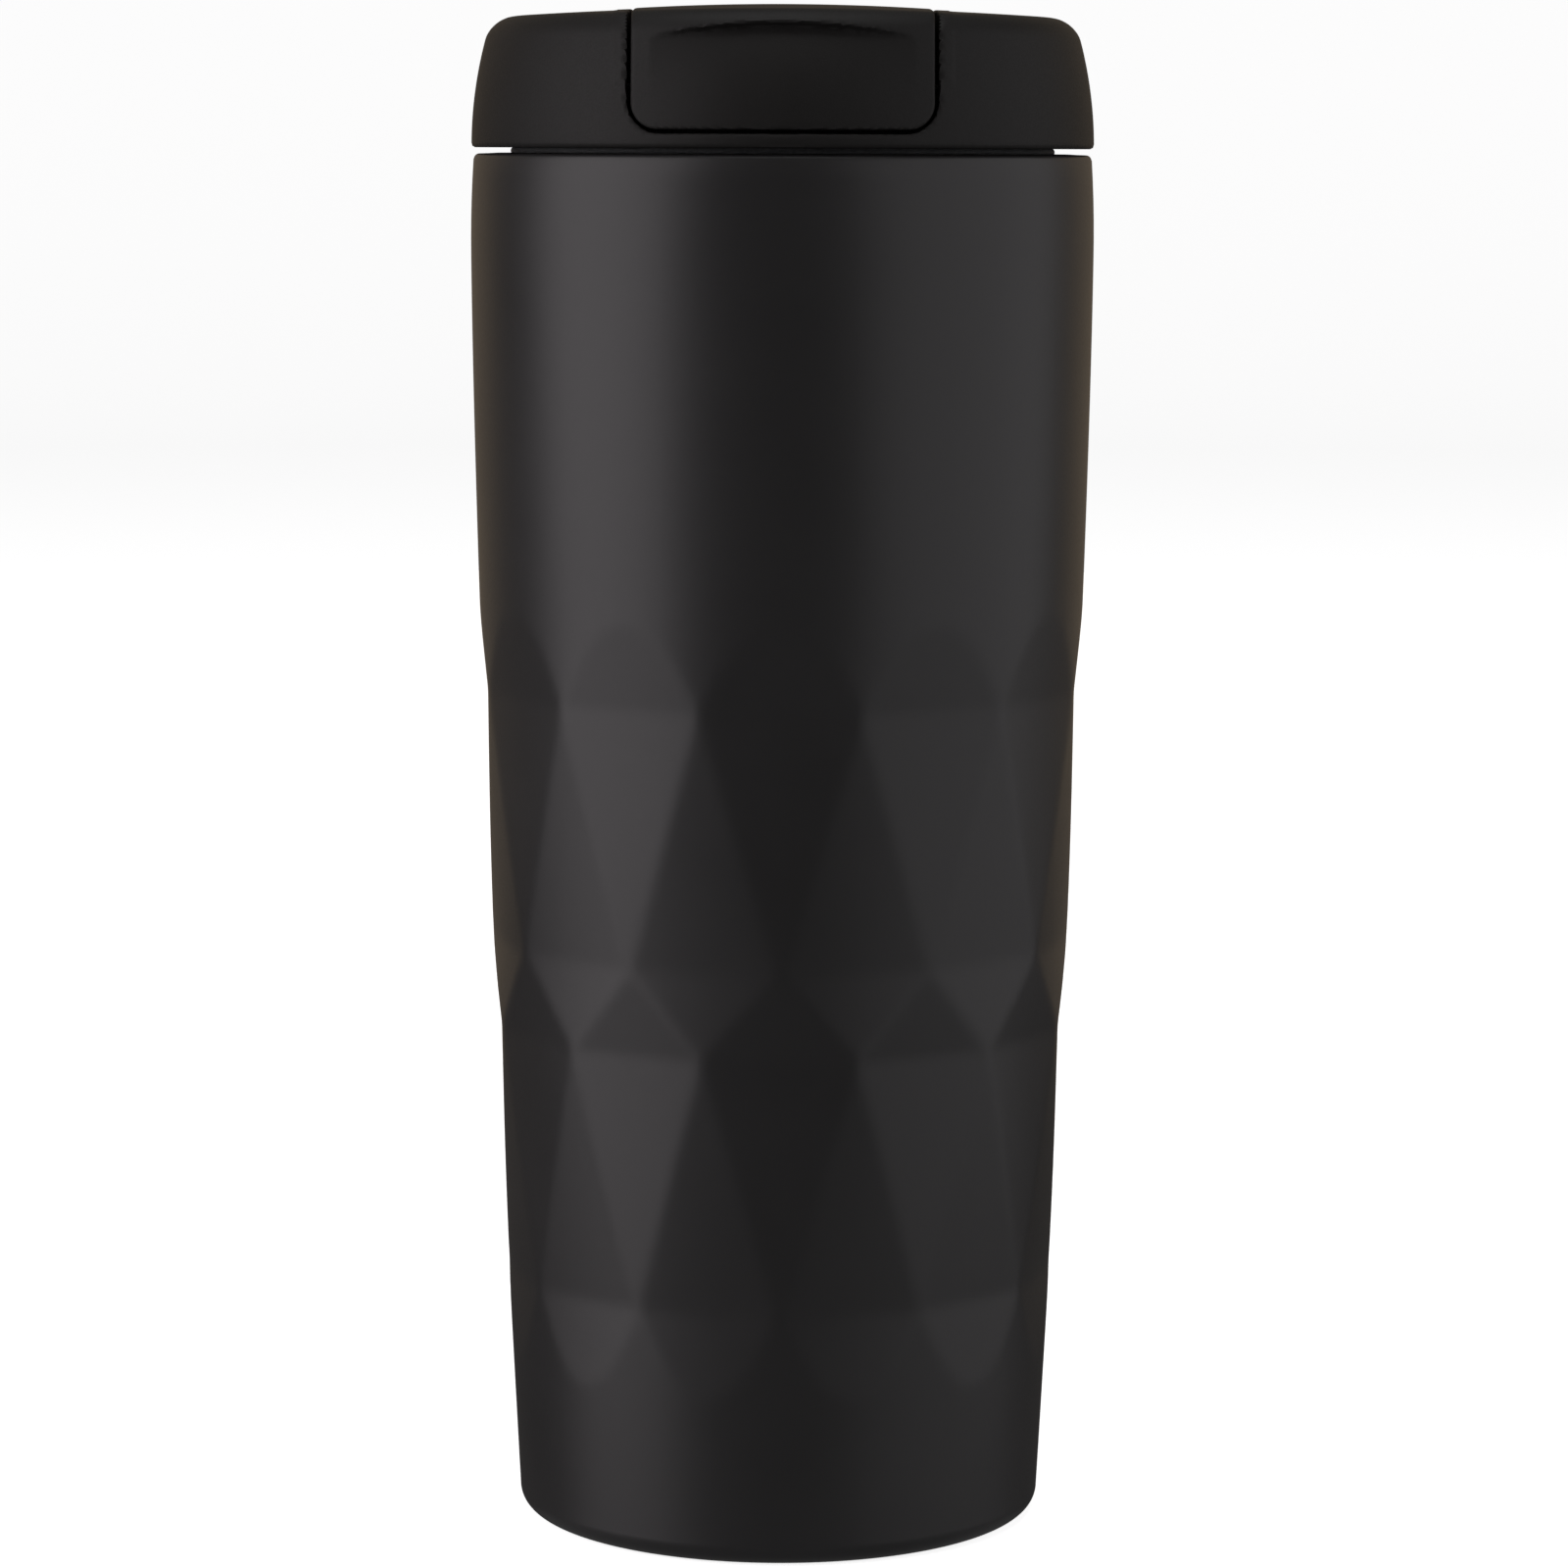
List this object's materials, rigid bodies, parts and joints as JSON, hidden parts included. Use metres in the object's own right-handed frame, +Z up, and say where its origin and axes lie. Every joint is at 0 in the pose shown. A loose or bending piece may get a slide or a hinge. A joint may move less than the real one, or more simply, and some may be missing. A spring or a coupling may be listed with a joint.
{
  "type": "insulated tumbler with lid",
  "caption": "Tapered double-walled drinking tumbler with a pressed facet pattern and a push-fit lid whose flap swings up over a drinking opening.",
  "frame": {"origin": "centre of the face the tumbler stands on", "axes": "+Z up along the tumbler's axis; the front, where the flap opens, looks along -Y; +X to the right seen from the front"},
  "size_m": [0.0782, 0.0782, 0.1914],
  "materials": {
    "painted_steel": "satin black soft-feel paint on stainless steel",
    "bare_steel": "bare stainless steel, brushed",
    "foil": "thin bright foil",
    "seal_glass": "melted sealing glass",
    "getter_metal": "pressed metal powder pellet",
    "black_plastic": "finely textured moulded plastic, matte black",
    "black_silicone": "soft silicone, matte black",
    "grey_silicone": "soft silicone, grey"
  },
  "bodies": {
    "tumbler": {"outer_shell": "painted_steel", "outer_base": "painted_steel", "base_cover": "painted_steel", "inner_liner": "bare_steel", "foil_wrap": "foil", "port_seal": "seal_glass", "getter_cup": "bare_steel", "getter_pellet": "getter_metal"},
    "seal_ring": {"mouth_gasket": "grey_silicone"},
    "lid": {"lid_cover": "black_plastic", "lid_body": "black_plastic", "hinge_pin": "bare_steel"},
    "flap": {"flap_cover": "black_plastic", "flap_base": "black_plastic", "spout_stopper": "black_silicone", "vent_stopper": "black_silicone"}
  },
  "joints": [
    {"name": "lid_lift", "type": "slide", "parent": "tumbler", "child": "seal_ring", "axis": [0, 0, 1], "range_m": [0, 0.06]},
    {"name": "lid_turn", "type": "hinge", "parent": "seal_ring", "child": "lid", "pos_m": [0, 0, 0.169], "axis": [0, 0, 1], "continuous": true},
    {"name": "flap_hinge", "type": "hinge", "parent": "lid", "child": "flap", "pos_m": [0, 0.022, 0.186], "axis": [-1, 0, 0], "range_deg": [0, 100]}
  ]
}
